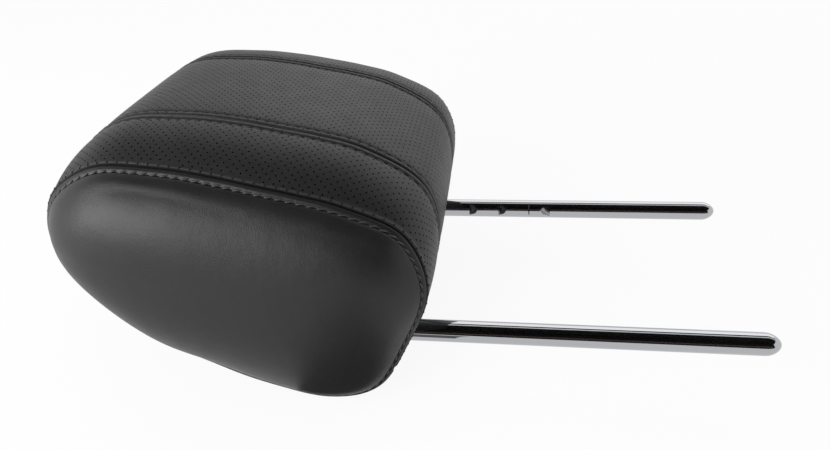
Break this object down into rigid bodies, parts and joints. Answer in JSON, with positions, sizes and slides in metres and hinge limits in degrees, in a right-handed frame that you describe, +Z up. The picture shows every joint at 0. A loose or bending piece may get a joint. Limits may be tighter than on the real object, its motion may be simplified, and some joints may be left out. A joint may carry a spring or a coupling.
{
  "type": "car headrest",
  "caption": "Leather car headrest lying on its back, with a perforated front panel between stitched seams and a bent chromed rod whose legs fit a seat's guides.",
  "frame": {"origin": "under the middle of the whole headrest, on the surface that its back rests on", "axes": "+X from the cushion towards the free ends of the posts, +Y across the width towards the leg with the notches, +Z up, out of the front"},
  "size_m": [0.3685, 0.2172, 0.1346],
  "materials": {
    "perforated_leather": "satin",
    "smooth_leather": "satin",
    "seam_tape": "matte",
    "foam": "matte",
    "moulded_plastic": "matte",
    "chrome": "polished",
    "plated_steel": "satin"
  },
  "bodies": {
    "root": {"cover_front_centre": "perforated_leather", "cover_front_left": "perforated_leather", "cover_front_right": "perforated_leather", "cover_back": "smooth_leather", "cover_side_left": "smooth_leather", "cover_side_right": "smooth_leather", "seam_tape_inner_left": "seam_tape", "seam_tape_inner_right": "seam_tape", "seam_tape_side_left": "seam_tape", "seam_tape_side_right": "seam_tape", "foam_body": "foam", "post_rod": "chrome", "post_sleeve_left": "moulded_plastic", "post_sleeve_right": "moulded_plastic", "closure_strip_front": "moulded_plastic", "closure_strip_rear": "moulded_plastic", "insert_front_shell": "moulded_plastic", "insert_rear_shell": "moulded_plastic", "insert_screw_1": "plated_steel", "insert_screw_2": "plated_steel", "insert_screw_3": "plated_steel", "insert_screw_4": "plated_steel"}
  },
  "joints": []
}
